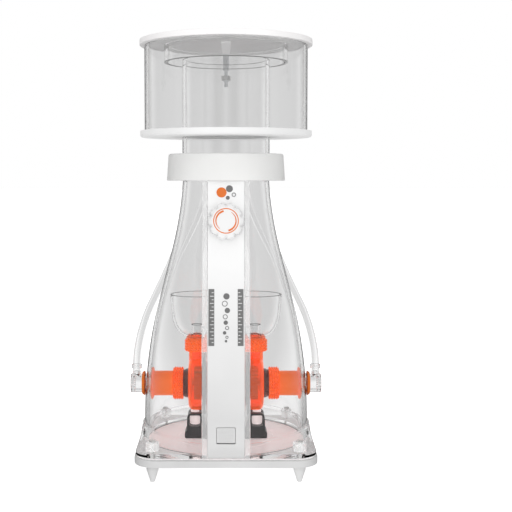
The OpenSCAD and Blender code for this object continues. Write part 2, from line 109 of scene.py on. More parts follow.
def map_range(tree, value, from_min, from_max, to_min, to_max):
    node = add(tree, "MapRange", {"Value": value, "From Min": from_min, "From Max": from_max,
                                  "To Min": to_min, "To Max": to_max})
    return node.outputs["Result"]


def spread(tree, value, low, high):
    """Maps a noise value onto low to high."""
    return map_range(tree, value, NOISE_LOW, NOISE_HIGH, low, high)


def two_tone(tree, value, dark, light):
    return ramp(tree, value, ((NOISE_LOW, dark), (NOISE_HIGH, light)))


def bump(tree, shader, value, strength, distance):
    node = add(tree, "Bump", {"Height": value, "Strength": strength, "Distance": distance})
    tree.links.new(node.outputs["Normal"], shader.inputs["Normal"])


# -------- camera, world and light
def make_camera():
    """The photograph's view: from straight in front at two thirds of the height, looking slightly down."""
    distance, height, tilt = 1.316, 0.3723, radians(3.3)
    data = bpy.data.cameras.new("camera")
    data.sensor_width = 36.0
    data.lens = 71.4
    data.shift_x = 0.0586
    data.shift_y = -0.039
    camera = bpy.data.objects.new("camera", data)
    camera.location = (0.0, -distance, height)
    camera.rotation_euler = (radians(90) - tilt, 0.0, 0.0)
    scene.collection.objects.link(camera)
    scene.camera = camera


# Greys of the studio by the direction round the object: 0 is straight behind it, 1 straight in front.
# As it shows through clear parts, with narrow streaks straight behind and a white band to each side:
STUDIO = ((0.0, 0.74), (0.0012, 0.68), (0.004, 0.64), (0.0072, 0.67), (0.0078, 0.62), (0.0105, 0.65),
          (0.0112, 0.72), (0.0135, 0.7), (0.016, 0.76), (0.0175, 0.7), (0.021, 0.69), (0.0222, 0.76),
          (0.026, 0.73), (0.05, 0.72), (0.09, 0.98), (0.19, 1.0), (0.26, 0.72), (0.5, 0.68), (0.75, 0.7),
          (1.0, 0.72))
# As gloss mirrors it:
MIRRORED = ((0.0, 0.12), (0.1, 0.16), (0.25, 0.12), (0.62, 0.12), (0.8, 0.36), (1.0, 0.4))
# As it lights matt surfaces, darkest from the sides:
SOFT_LIGHT = ((0.0, 0.80), (0.3, 0.66), (0.44, 0.26), (0.56, 0.26), (0.75, 0.82), (1.0, 1.02))
SOFT_LIGHT_STRENGTH = 1.5
CLEAR_BOUNCES = 40  # a line of sight can cross the walls of cup, riser, bottle and hoses
STRAIGHT_BOUNCES = 24


def tone_round(tree, where, stops):
    """A grey that depends only on the direction round the object."""
    split = add(tree, "SeparateXYZ", {0: where})
    turn = add(tree, "Math", {0: split.outputs["X"], 1: split.outputs["Y"]}, "ARCTAN2")
    side = add(tree, "Math", {0: turn.outputs[0]}, "ABSOLUTE")
    share = add(tree, "MapRange", {"Value": side.outputs[0], "From Max": pi})
    return ramp(tree, share.outputs["Result"], stops)


def studio_shader(tree, kind, where):
    """The studio through glass, in gloss, and, once light has left a matt surface, as soft light."""
    seen, gloss, light = [add(tree, kind, {"Color": tone_round(tree, where, stops)})
                          for stops in (STUDIO, MIRRORED, SOFT_LIGHT)]
    light.inputs["Strength"].default_value = SOFT_LIGHT_STRENGTH
    path = add(tree, "LightPath", {})
    glass = add(tree, "MixShader", {"Fac": path.outputs["Is Reflection Ray"], 1: seen.outputs[0],
                                    2: gloss.outputs[0]})
    mix = add(tree, "MixShader", {"Fac": path.outputs["Diffuse Depth"], 1: glass.outputs[0],
                                  2: light.outputs[0]})
    return mix.outputs[0], path.outputs["Is Camera Ray"]


def make_world():
    """Plain white to the camera, and the studio to every other ray."""
    world = bpy.data.worlds.new("studio")
    scene.world = world
    world.use_nodes = True
    world.cycles.sampling_method = "NONE"
    tree = world.node_tree
    tree.nodes.clear()
    where = add(tree, "TexCoord", {}).outputs["Generated"]
    studio, from_camera = studio_shader(tree, "Background", where)
    white = add(tree, "Background", {"Color": WHITE})
    mix = add(tree, "MixShader", {"Fac": from_camera, 1: studio, 2: white.outputs[0]})
    add(tree, "OutputWorld", {"Surface": mix.outputs[0]})


make_camera()
make_world()
scene.view_settings.view_transform = "Standard"
scene.cycles.max_bounces = CLEAR_BOUNCES
scene.cycles.transmission_bounces = CLEAR_BOUNCES
scene.cycles.transparent_max_bounces = STRAIGHT_BOUNCES


# -------- materials
M = {}


def new_material(name):
    """A material with its node tree and its shader, kept in M under its name."""
    material = bpy.data.materials.new(name)
    material.use_nodes = True
    M[name] = material
    return material.node_tree, material.node_tree.nodes["Principled BSDF"]


def height_tone(tree, low, high):
    """Runs from the dark end at the low height to the light end at the high one, with a slow drift."""
    split = add(tree, "SeparateXYZ", {0: object_point(tree)})
    share = map_range(tree, split.outputs["Z"], low, high, NOISE_LOW, NOISE_HIGH)
    return add(tree, "Math", {0: share, 1: spread(tree, noise(tree, 14), -0.03, 0.03)}).outputs[0]


def moulded(name, dark, light, rough=(0.3, 0.42), grain=2600, depth=0.00004, coat=0.0, glow=0.0,
            gloss=0.5, painted_shade_heights=None):
    """Moulded plastic: a slow drift in tone, a fine moulded grain and uneven gloss. Glow is painted light
    that lifts parts lying in shade. With painted_shade_heights, the tone rises from dark at one height to
    light at another, painted shade that is darker lower down."""
    tree, shader = new_material(name)
    drift = height_tone(tree, *painted_shade_heights) if painted_shade_heights else noise(tree, 14)
    fill(tree, shader, {"Base Color": two_tone(tree, drift, dark, light), "Specular IOR Level": gloss,
                        "Roughness": spread(tree, noise(tree, 60), *rough), "Coat Weight": coat,
                        "Coat Roughness": 0.08, "Emission Color": rgba(light),
                        "Emission Strength": glow})
    bump(tree, shader, noise(tree, grain, 2.0), 0.35, depth)


def clear(name, tint, edge, rough=(0.0, 0.02), wave=9, depth=0.0002, ior=1.49):
    """Clear acrylic with the faint waviness of a moulded part. It darkens to edge where it is seen edge-on,
    painted shade for the dark rims of clear walls, beyond the little that the long way through a wall does."""
    tree, shader = new_material(name)
    facing = add(tree, "LayerWeight", {"Blend": spread(tree, noise(tree, 11), 0.47, 0.53)}).outputs["Facing"]
    stops = ((0.0, tint), (0.66, tint), (0.82, 0.5 * (tint + edge)), (0.95, edge))
    fill(tree, shader, {"Base Color": ramp(tree, facing, stops), "Transmission Weight": 1.0, "IOR": ior,
                        "Roughness": spread(tree, noise(tree, 40), *rough)})
    bump(tree, shader, noise(tree, wave, 1.0), 0.2, depth)


def translucent(name, dark, light, transmission, rough=(0.15, 0.28), ior=1.5, glow=0.0):
    """Tinted plastic that lets light through; glow is painted light that lifts the part out of shade."""
    tree, shader = new_material(name)
    fill(tree, shader, {"Base Color": two_tone(tree, noise(tree, 45), dark, light), "IOR": ior,
                        "Roughness": spread(tree, noise(tree, 90), *rough),
                        "Emission Color": rgba(light), "Emission Strength": glow,
                        "Transmission Weight": transmission})
    bump(tree, shader, noise(tree, 900, 2.0), 0.3, 0.00005)


def metal(name, dark, light, rough=(0.2, 0.35)):
    """Brushed metal; its small glow stands for the studio's fill inside the clear body."""
    tree, shader = new_material(name)
    brushed = noise(tree, 500, 4.0, (1, 1, 0.05))
    fill(tree, shader, {"Base Color": two_tone(tree, brushed, dark, light), "Metallic": 1.0,
                        "Roughness": spread(tree, brushed, *rough), "Emission Color": rgba(light),
                        "Emission Strength": 0.3})


def foam(name, dark, light):
    tree, shader = new_material(name)
    cells = add(tree, "TexVoronoi", {"Vector": object_point(tree), "Scale": 700}).outputs["Distance"]
    fill(tree, shader, {"Base Color": two_tone(tree, cells, dark, light), "Roughness": 0.9})
    bump(tree, shader, cells, 0.8, 0.0006)


moulded("white_shell", 0.80, 0.86)
# Painted shade: the panel's white darkens towards its bottom, as under light from above.
moulded("panel_white", 0.62, 0.88, painted_shade_heights=(0.08, 0.27))
# Painted shade: the base plate is a darker copy of the white shell.
moulded("base_white", 0.55, 0.61)
# Painted light: the cup plate, a darker white, and the lid rib glow to lift them out of shade.
moulded("plate_white", 0.62, 0.68, glow=0.3, gloss=0.0)
moulded("rib_white", 0.80, 0.86, glow=0.32, gloss=0.0)
moulded("collar_white", (0.80, 0.80, 0.79), (0.85, 0.85, 0.84), (0.4, 0.55), 900, 0.00012)
# Painted light: a lighter copy of the grey plastic with a glow, for the float switch in the cup's shade.
moulded("switch_plastic", (0.56, 0.57, 0.58), (0.64, 0.65, 0.66), (0.35, 0.5), glow=0.3)
moulded("print_white", 0.78, 0.84, (0.4, 0.5))
moulded("foot_plastic", 0.58, 0.68)
clear("clear_body", 0.975, 0.12)
clear("clear_skirt", 0.99, 0.72, ior=1.06)
# Painted light: bosses, duct and gasket glow out of shade; the duct's part-white walls paint a pale band.
translucent("clear_boss", 0.88, 0.95, 0.72, (0.2, 0.35), 1.2, 0.12)
translucent("clear_duct", 0.93, 0.97, 0.74, (0.02, 0.08), 1.4, 0.06)
translucent("clear_gasket", (0.86, 0.84, 0.84), (0.93, 0.91, 0.91), 0.4, (0.3, 0.45), 1.4, 0.12)
# Painted light: the lid glows to lift its shaded underside.
moulded("lid_white", (0.79, 0.775, 0.775), (0.82, 0.81, 0.81), glow=0.16, gloss=0.05)
# Painted shade: the grey in the gap round the latch pad.
moulded("painted_gap_shade", 0.34, 0.42, (0.4, 0.55))
# Painted shade: dark rings at clear tube ends and the bottle's foot, and the dark bar under the latch.
moulded("sawn_edge", 0.16, 0.24, (0.3, 0.5))
clear("clear_cup", 0.975, 0.10)
clear("clear_bowl", 0.97, 0.10, ior=1.35)
clear("clear_fitting", 0.97, 0.3, (0.0, 0.05), ior=1.4)
# Painted light: the orange nuts, volutes and intake pipes glow to lift them out of the clear body's shade.
translucent("orange_nut", (0.98, 0.12, 0.006), (1.0, 0.20, 0.012), 0.3, (0.2, 0.35), glow=0.22)
translucent("orange_volute", (1.0, 0.13, 0.006), (1.0, 0.18, 0.008), 0.8, (0.02, 0.1), glow=0.16)
moulded("orange_pipe", (0.95, 0.13, 0.005), (1.0, 0.17, 0.007), (0.35, 0.5), glow=0.36)
moulded("orange_trim", (0.72, 0.15, 0.012), (0.82, 0.19, 0.018), (0.3, 0.42))
translucent("dark_flange", (0.10, 0.03, 0.02), (0.18, 0.05, 0.03), 0.2)
moulded("black_plastic", 0.008, 0.016, (0.3, 0.45))
moulded("motor_shell", (0.012, 0.012, 0.014), (0.02, 0.02, 0.022), (0.35, 0.5))
moulded("needle_plastic", (0.02, 0.018, 0.017), (0.035, 0.03, 0.028))
moulded("magnet", (0.01, 0.01, 0.012), (0.02, 0.02, 0.02))
moulded("ceramic", (0.78, 0.76, 0.7), (0.84, 0.82, 0.77), (0.08, 0.15), coat=0.4)
moulded("black_rubber", (0.012, 0.014, 0.014), (0.022, 0.024, 0.024), (0.45, 0.6))
# Painted light: the pegs glow, lifting them out of the shade behind the foot blocks' windows.
translucent("peg_silicone", (0.82, 0.73, 0.72), (0.9, 0.82, 0.81), 0.3, (0.3, 0.45), glow=0.4)
# Painted light: the floor disc glows, lifting it out of the shade under the clear bottle.
moulded("floor_plastic", (0.84, 0.74, 0.74), (0.90, 0.81, 0.81), (0.3, 0.4), 1500, 0.0001, glow=0.38)
moulded("scale_print", 0.15, 0.19, (0.35, 0.5))
metal("steel", (0.5, 0.5, 0.5), (0.68, 0.68, 0.67))
foam("silencer_foam", (0.012, 0.013, 0.014), (0.04, 0.042, 0.045))
moulded("grey_plastic", (0.42, 0.43, 0.44), (0.5, 0.51, 0.52))
# Painted light: the float glows in the shade inside the cup.
moulded("float_foam", (0.5, 0.5, 0.5), (0.58, 0.58, 0.57), (0.6, 0.75), glow=0.25)
clear("hose_clear", 0.985, 0.42, (0.0, 0.04), 30, 0.0001, 1.12)

# The photograph shows these nodes clear, whatever their record's slot.
OTHER_LOOK = {"hose_barbs": "clear_fitting", "hose_clips": "clear_fitting", "base_gasket": "clear_gasket"}
slot_of = {part["node"]: part["material_slot"] for part in frame["record"]["subparts"]}
for name, obj in nodes.items():
    obj.data.materials.clear()
    obj.data.materials.append(M[OTHER_LOOK.get(name, slot_of[name])])


# -------- floor
def make_floor():
    """A plain pale floor to the camera; to every other ray it shows the same studio as the world."""
    size = 30.0
    mesh = bpy.data.meshes.new("floor")
    mesh.from_pydata([(-size, -size, 0), (size, -size, 0), (size, size, 0), (-size, size, 0)], [],
                     [(0, 1, 2, 3)])
    floor = bpy.data.objects.new("floor", mesh)
    scene.collection.objects.link(floor)
    tree, shader = new_material("pale_floor")
    fill(tree, shader, {"Base Color": two_tone(tree, noise(tree, 0.6), 0.9, 0.92), "Roughness": 0.9,
                        "Emission Color": WHITE, "Emission Strength": 0.6})
    studio, from_camera = studio_shader(tree, "Emission", object_point(tree))
    mix = add(tree, "MixShader", {"Fac": from_camera, 1: studio, 2: shader.outputs[0]})
    tree.links.new(mix.outputs[0], tree.nodes["Material Output"].inputs["Surface"])
    mesh.materials.append(M["pale_floor"])


make_floor()


# -------- mesh helpers (outlines in mm)
SHARP = 32  # degrees; a wider turn between faces is an edge
SHARP_ROUNDED = 40  # the same, once a bevel has rounded the edges


def rounded(corners, steps=4):
    """A closed outline through (a, b, radius) corners, each one rounded by its radius."""
    points = []
    for i, (a, b, r) in enumerate(corners):
        here = Vector((a, b))
        to_last = Vector(corners[i - 1][:2]) - here
        to_next = Vector(corners[(i + 1) % len(corners)][:2]) - here
        if r == 0:
            points.append((a, b))
            continue
        u, v = to_last.normalized(), to_next.normalized()
        half = u.angle(v) / 2
        reach = min(r / tan(half), 0.49 * to_last.length, 0.49 * to_next.length)
        radius = reach * tan(half)
        centre = here + (u + v).normalized() * radius / sin(half)
        start, end = here + u * reach - centre, here + v * reach - centre
        first = atan2(start.y, start.x)
        turn = (atan2(end.y, end.x) - first + pi) % (2 * pi) - pi
        for k in range(steps + 1):
            angle = first + turn * k / steps
            points.append((centre.x + radius * cos(angle), centre.y + radius * sin(angle)))
    return points


def curve_point(p, t):
    weights = ((1 - t) ** 3, 3 * (1 - t) ** 2 * t, 3 * (1 - t) * t * t, t ** 3)
    return tuple(sum(w * q[axis] for w, q in zip(weights, p)) for axis in (0, 1))


def curve_points(p, steps):
    return [curve_point(p, i / steps) for i in range(steps + 1)]


def rect(a0, b0, a1, b1):
    """The outline of a rectangle."""
    return [(a0, b0), (a1, b0), (a1, b1), (a0, b1)]


def rounded_rect(a0, b0, a1, b1, radii, steps=4):
    """A rectangle's outline with rounded corners; a tuple gives each corner its own radius."""
    radii = radii if isinstance(radii, tuple) else (radii,) * 4
    return rounded([(a, b, r) for (a, b), r in zip(rect(a0, b0, a1, b1), radii)], steps)


def smooth(mesh, sharp):
    """Smooth shading, with sharp edges from an angle in degrees."""
    mesh.shade_smooth()
    mesh.set_sharp_from_angle(angle=radians(sharp))


def build(name, verts, faces, material, place=None, mirror=False, sharp=SHARP):
    """Makes an object from points in mm, moved by place and mirrored to +X where asked."""
    mesh = bpy.data.meshes.new(name)
    mesh.from_pydata([Vector(v) * MM for v in verts], [], faces)
    work = bmesh.new()
    work.from_mesh(mesh)
    if place is not None:
        bmesh.ops.transform(work, matrix=place, verts=work.verts)
    if mirror:
        bmesh.ops.scale(work, vec=(-1, 1, 1), verts=work.verts)
    bmesh.ops.remove_doubles(work, verts=work.verts, dist=1e-7)
    bmesh.ops.dissolve_degenerate(work, edges=work.edges, dist=1e-8)
    bmesh.ops.recalc_face_normals(work, faces=work.faces)
    work.to_mesh(mesh)
    work.free()
    mesh.materials.append(M[material])
    smooth(mesh, sharp)
    obj = bpy.data.objects.new(name, mesh)
    scene.collection.objects.link(obj)
    return obj


def ring_faces(rings, n):
    """Faces between closed rings of n points each, the last ring joined to the first."""
    faces = []
    for i in range(rings):
        here, there = i * n, (i + 1) % rings * n
        faces += [(here + k, there + k, there + (k + 1) % n, here + (k + 1) % n) for k in range(n)]
    return faces


def lathe(name, outline, material, place=None, mirror=False, steps=128, ripple=None, sharp=SHARP):
    """Turns a closed (radius, height) outline round the local Z axis; ripple(r, z, angle) may change r."""
    verts = []
    for i in range(steps):
        angle = 2 * pi * i / steps
        for r, z in outline:
            out = ripple(r, z, angle) if ripple else r
            verts.append((out * cos(angle), out * sin(angle), z))
    return build(name, verts, ring_faces(steps, len(outline)), material, place, mirror, sharp)


def prism(name, outline, low, high, material, bevel=0.0, place=None, mirror=False, along="z"):
    """Extrudes a closed outline between low and high, along Z, or along X from a (y, z) outline."""
    n = len(outline)
    if along == "z":
        verts = [(a, b, h) for h in (low, high) for a, b in outline]
    else:
        verts = [(h, a, b) for h in (low, high) for a, b in outline]
    faces = [(k, (k + 1) % n, n + (k + 1) % n, n + k) for k in range(n)]
    faces += [tuple(range(n)), tuple(range(2 * n - 1, n - 1, -1))]
    obj = build(name, verts, faces, material, place, mirror)
    if bevel:
        soften(obj, bevel)
    return obj


def soften(obj, width_mm, angle=50, segments=3):
    """Rounds the sharp edges of a piece by width_mm."""
    work = bmesh.new()
    work.from_mesh(obj.data)
    edges = [edge for edge in work.edges
             if len(edge.link_faces) == 2 and edge.calc_face_angle(0) > radians(angle)]
    bmesh.ops.bevel(work, geom=edges, offset=width_mm * MM, segments=segments, profile=0.5,
                    affect="EDGES", clamp_overlap=True)
    bmesh.ops.recalc_face_normals(work, faces=work.faces)
    work.to_mesh(obj.data)
    work.free()
    smooth(obj.data, SHARP_ROUNDED)


def tube(name, path, r_out, r_in, material, sides=24):
    """Sweeps a hollow round hose along a path of points in mm."""
    path = [Vector(p) for p in path]
    side = Vector((0, 1, 0))
    verts, faces = [], []
    for i, point in enumerate(path):
        along = (path[min(i + 1, len(path) - 1)] - path[max(i - 1, 0)]).normalized()
        side = (side - along * side.dot(along)).normalized()
        up = along.cross(side)
        for r in (r_out, r_in):
            for k in range(sides):
                angle = 2 * pi * k / sides
                verts.append(point + r * (cos(angle) * side + sin(angle) * up))
    ring = 2 * sides
    for i in range(len(path) - 1):
        a, b = i * ring, (i + 1) * ring
        for k in range(sides):
            m = (k + 1) % sides
            faces.append((a + k, b + k, b + m, a + m))
            faces.append((a + sides + k, a + sides + m, b + sides + m, b + sides + k))
    for a in (0, (len(path) - 1) * ring):
        faces += [(a + k, a + (k + 1) % sides, a + sides + (k + 1) % sides, a + sides + k)
                  for k in range(sides)]
    return build(name, verts, faces, material)


def smooth_path(points, per_span=6):
    """A Catmull-Rom curve through the points."""
    points = [Vector(p) for p in points]
    path = []
    for i in range(len(points) - 1):
        a, b = points[max(i - 1, 0)], points[i]
        c, d = points[i + 1], points[min(i + 2, len(points) - 1)]
        for k in range(per_span):
            t = k / per_span
            path.append(0.5 * (2 * b + (c - a) * t + (2 * a - 5 * b + 4 * c - d) * t * t
                               + (3 * b - a - 3 * c + d) * t ** 3))
    return path + [points[-1]]


def apply_modifiers(obj):
    bpy.context.view_layer.update()
    evaluated = obj.evaluated_get(bpy.context.evaluated_depsgraph_get())
    mesh = bpy.data.meshes.new_from_object(evaluated)
    obj.modifiers.clear()
    obj.data = mesh


def combine(obj, other, operation):
    """Joins other to obj by a boolean operation, and deletes other."""
    modifier = obj.modifiers.new("combine", "BOOLEAN")
    modifier.operation = operation
    modifier.solver = "EXACT"
    modifier.object = other
    apply_modifiers(obj)
    bpy.data.objects.remove(other)
    smooth(obj.data, SHARP)


def cut(obj, cutter):
    """Cuts one object from another, and deletes the cutter."""
    combine(obj, cutter, "DIFFERENCE")


def look_of(obj):
    """The key in M of a piece's look; Blender may have added a dot and a number to its name."""
    return obj.data.materials[0].name.split(".")[0]


def cut_block(obj, outline, low, high, mirror=False):
    """Cuts an upright block from a piece, with a cutter of the same look."""
    cut(obj, prism("block", outline, low, high, look_of(obj), mirror=mirror))


def bore(obj, place, radius, start, end, mirror=False, steps=128):
    """Cuts a round bore from a piece, along place's own Z."""
    cut(obj, lathe("bore", rect(0, start, radius, end), look_of(obj), place, mirror, steps))


def join(name, *pieces):
    """Joins pieces of one body into one object, keeping their materials."""
    whole = pieces[0]
    with bpy.context.temp_override(active_object=whole, selected_editable_objects=list(pieces)):
        bpy.ops.object.join()
    whole.name = name
    return whole


def weigh_normals(obj):
    """Lets large faces decide the shading, so a rounded edge doesn't bend the look of the wall beside it."""
    modifier = obj.modifiers.new("normals", "WEIGHTED_NORMAL")
    modifier.keep_sharp = True
    apply_modifiers(obj)


def place_piece(obj, body, slot, *replaced):
    """Hands a finished piece to the frame: the body it rides and the CAD nodes it replaces; slot is not used.
    """
    weigh_normals(obj)
    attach(obj, body)
    if replaced:
        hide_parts(*replaced)


def side_name(side):
    return "left" if side < 0 else "right"


def along_pump(x0):
    """Local Z along +X from x0, on the left pump's axis."""
    return Matrix.Translation((x0 * MM, 0, PUMP_Z * MM)) @ Matrix.Rotation(radians(90), 4, "Y")


def upright(x, y, z):
    return Matrix.Translation((x * MM, y * MM, z * MM))


# -------- driving sizes, in mm, as in the CAD
def low_z(node):
    """A node's lowest height in mm, from the frame."""
    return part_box(node)[0].z / MM


def high_z(node):
    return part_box(node)[1].z / MM


# Cubic curves as (radius, height) control points
BOTTLE_CURVE = [(105.5, 34), (110, 208), (62, 252), (55.4, 372)]
PANEL_CURVE = [(108.5, 34), (104.6, 298.7), (87.1, 168), (69.5, 368.3)]
BOWL_CURVE = [(12, 165), (33.5, 169), (33.5, 194), (35, 220.5)]
PUMP_Z = 104.0  # height of the pumps' axis
VOLUTE_X = -48.6  # outer face of the left volute
OUTLET_X = 37.5  # the pumps' outlets and bowls, to each side
PEG_X = -40.5  # the left pump's peg
STUB_X = -116.5  # the hose stub on the left fitting
KNOB_Z = 318.0
KNOB_TILT = 8.0  # degrees back from upright
DUCT_DEPTH, DUCT_BACK = 16.0, 3.0  # whole depth, and its back wall
DUCT_IN, DUCT_OUT = 23.0, 29.0  # half widths inside and outside
CORNER = 90.0  # feet and corner bosses, from the axis both ways
SIDES = (-1, 1)
GAP = 0.06  # keeps clear surfaces of neighbouring pieces from lying in one plane
ROOM = 0.15  # between the bottle's opening and the duct


def panel_point(z):
    """The panel's face at height z: its y, and its backward slope in radians."""
    low, high, halvings, step = 0.0, 1.0, 40, 0.004
    for _ in range(halvings):
        middle = (low + high) / 2
        if curve_point(PANEL_CURVE, middle)[1] < z:
            low = middle
        else:
            high = middle
    a, b = curve_point(PANEL_CURVE, low - step), curve_point(PANEL_CURVE, low + step)
    return -curve_point(PANEL_CURVE, low)[0], atan2(a[0] - b[0], b[1] - a[1])


def on_panel(x, z):
    """Local Z out of the panel's face, local Y up along it."""
    y, slope = panel_point(z)
    return upright(x, y, z) @ Matrix.Rotation(radians(90) - slope, 4, "X")


# Turns an outline of (x, z) points, extruded between two values of y, to face the front.
FRONT = Matrix.Rotation(radians(90), 4, "X") @ Matrix.Diagonal((1, 1, -1, 1))
KNOB_TURN = Matrix.Rotation(radians(90 - KNOB_TILT), 4, "X")
KNOB_PLACE = upright(0, panel_point(KNOB_Z)[0], KNOB_Z) @ KNOB_TURN


def panel_patch(name, x0, x1, z0, z1, lift, thick, material, steps=12):
    """A thin strip that lies on the panel's face between two heights."""
    face = []
    for i in range(steps + 1):
        y, slope = panel_point(z0 + (z1 - z0) * i / steps)
        face.append((y, z0 + (z1 - z0) * i / steps, slope))
    outer = [(y - cos(s) * (lift + thick), z + sin(s) * (lift + thick)) for y, z, s in face]
    inner = [(y - cos(s) * lift, z + sin(s) * lift) for y, z, s in face]
    return prism(name, outer + inner[::-1], x0, x1, material, along="x")


def panel_disc(name, x, z, r_out, r_in, material):
    """A thin disc or ring that lies on the panel's face."""
    lift, thick = 0.05, 0.25
    return lathe(name, rect(r_in, lift, r_out, lift + thick), material, on_panel(x, z), steps=48)


# -------- base
def at_corners(name, outline, material):
    """Four turned pieces, one at each corner of the base, as one object."""
    places = [upright(x * CORNER, y * CORNER, 0) for x in SIDES for y in SIDES]
    return join(name, *[lathe(f"{name}_{i}", outline, material, place, steps=48)
                        for i, place in enumerate(places)])


def make_base():
    low, high = low_z("base_plate"), high_z("base_plate")
    half, corner, past = 225 / 2, 28, 5
    square = rounded_rect(-half, -half, half, half, corner, 10)
    plate = prism("base_plate_moulding", square, low, high - GAP, "base_white", bevel=1.3)
    cut_block(plate, rect(-18, -104, 18, -97), low - past, high + past)     # the water outlet
    place_piece(plate, "body", "white_shell", "base_plate")
    foot = rounded([(0, 0, 0), (2.8, 0, 0.8), (7.5, 15.4, 1.5), (7.5, low - 1.6, 0.3), (0, low - 1.6, 0)])
    ring = rounded_rect(5, low - 1.5, 7.9, low - 0.1, (0, 0.5, 0.5, 0))
    place_piece(at_corners("foot_set", foot, "foot_plastic"), "body", "foot_plastic", "feet")
    place_piece(at_corners("foot_ring_set", ring, "orange_trim"), "body", "orange_trim", "foot_rings")


def make_skirt():
    """Clear skirt that runs from the square base up to the round bottle, with a bore for the bottle."""
    low, top = low_z("base_skirt") + GAP, high_z("base_skirt")
    steps, flange, wall, shoulder, edge = 192, 4.5, 3.5, 4.0, 0.6
    half, corner, hole, mouth = 111.0, 26.0, 106.15, 108.6
    rise, drop = 8, 6           # steps of the slope outside and inside

    def reach(angle, inset):
        """Distance from the axis to the rounded square's edge at an angle."""
        flat, r = half - inset, corner - inset
        c, s = abs(cos(angle)), abs(sin(angle))
        straight = flat / max(c, s)
        k = flat - r
        if min(straight * c, straight * s) <= k:
            return straight
        b = k * (c + s)
        return b + sqrt(max(b * b - 2 * k * k + r * r, 0))

    verts = []
    for i in range(steps):
        angle = 2 * pi * i / steps
        square, inner = reach(angle, 0), reach(angle, wall)
        floor, ledge, shelf = low + flange, low + flange - 1, top - shoulder
        levels = [(hole, low), (square - edge, low), (square, low + edge), (square, ledge)]
        for k in range(1, rise + 1):
            t = k / rise
            levels.append((square + (mouth - square) * t, ledge + (top - ledge) * t))
        levels.append((hole, top))
        if inner - hole > 5:        # towards the corners the skirt is hollow
            lip = hole + edge
            levels += [(hole, shelf), (lip, shelf)]
            for k in range(1, drop + 1):
                t = k / drop
                levels.append((lip + (inner - lip) * t, shelf + (floor - shelf) * t))
            levels.append((hole, floor))
        else:
            levels += [(hole, shelf - (shelf - floor) * k / rise) for k in range(rise + 1)]
        verts += [(r * cos(angle), r * sin(angle), z) for r, z in levels]
    skirt = build("base_skirt_clear", verts, ring_faces(steps, len(levels)), "clear_skirt", sharp=40)
    cut_block(skirt, rect(-29.3, -109.6, 29.3, -80), 30, 70)        # the duct's place
    place_piece(skirt, "body", "clear_body", "base_skirt")
    foot, screw = low + flange + GAP, 2.75
    boss = rounded_rect(screw, foot, 8.4, 49, (0, 0, 1.2, 0))
    place_piece(at_corners("corner_bosses", boss, "clear_boss"), "body", "clear_body")


def make_floor_disc():
    low, high = low_z("floor_disc"), high_z("floor_disc")
    outline = [(0, low + GAP), (106.4, low + GAP), (106.4, high - 0.3), (106.1, high - GAP)]
    for r in (99.5, 62.0):      # two fine grooves
        outline += [(r + 0.6, high - GAP), (r + 0.4, high - 0.5), (r - 0.4, high - 0.5),
                    (r - 0.6, high - GAP)]
    disc = lathe("floor_disc_plate", outline + [(0, high - GAP)], "floor_plastic", steps=160)
    cut_block(disc, rect(-19, -104.5, 19, -96.5), low - 3, high + 3)        # the water outlet
    place_piece(disc, "body", "floor_plastic", "floor_disc")


# -------- body
def make_bottle():
    wall, foot, neck = 4.5, BOTTLE_CURVE[0][1], BOTTLE_CURVE[-1][0]
    outer = [(r, z + (GAP if z <= foot else 0)) for r, z in curve_points(BOTTLE_CURVE, 64)]
    outer.append((neck, 382.9))
    inner = [(r - wall, z) for r, z in outer]
    bottle = lathe("bottle_shell", outer + inner[::-1], "clear_body", steps=160)
    line = [(-r, z) for r, z in curve_points(PANEL_CURVE, 48)]
    back = [(y + DUCT_DEPTH + ROOM, z) for y, z in line]
    front, under, over = -140, 20, 400          # well past the bottle
    cutter = [(front, under), (back[0][0], under)] + back + [(back[-1][0], over), (front, over)]
    cut(bottle, prism("duct_cut", cutter, -DUCT_OUT - ROOM, DUCT_OUT + ROOM, "clear_body", along="x"))
    for side in SIDES:
        bore(bottle, along_pump(-120), 11, 0, 40, side > 0, 48)
    place_piece(bottle, "body", "clear_body", "bottle")
    # Painted shade: a thin dark ring where the bottle's cut foot edge shows as a dark line.
    line = lathe("bottle_foot_line", rect(104.6, 34.4, 105.35, 35.1), "sawn_edge", steps=160)
    cut_block(line, rect(-29.6, -120, 29.6, -80), 30, 40)
    place_piece(line, "body", "clear_body")


def panel_line():
    """The panel's face from bottom to top, as (radius, height) points."""
    line = curve_points(PANEL_CURVE, 56)
    line[0] = (line[0][0], line[0][1] + GAP)
    line[-1] = (line[-1][0], line[-1][1] - GAP)
    return line


def make_duct():
    """Clear U-shaped duct behind the front panel, open at the front."""
    section = [(-DUCT_OUT, 0), (-DUCT_IN, 0), (-DUCT_IN, DUCT_DEPTH - DUCT_BACK),
               (DUCT_IN, DUCT_DEPTH - DUCT_BACK), (DUCT_IN, 0), (DUCT_OUT, 0), (DUCT_OUT, DUCT_DEPTH),
               (-DUCT_OUT, DUCT_DEPTH)]
    line = panel_line()
    verts = [(x, -r + depth, z) for r, z in line for x, depth in section]
    n = len(section)
    faces = [(i * n + k, i * n + (k + 1) % n, (i + 1) * n + (k + 1) % n, (i + 1) * n + k)
             for i in range(len(line) - 1) for k in range(n)]
    last = (len(line) - 1) * n
    faces += [tuple(range(n - 1, -1, -1)), tuple(last + k for k in range(n))]
    duct = build("duct_channel", verts, faces, "clear_duct")
    soften(duct, 0.5, angle=60, segments=2)
    cut_block(duct, rect(-14, -80, 14, -50), 284, 300)      # the weir behind the level gate
    place_piece(duct, "body", "clear_body", "duct_walls")


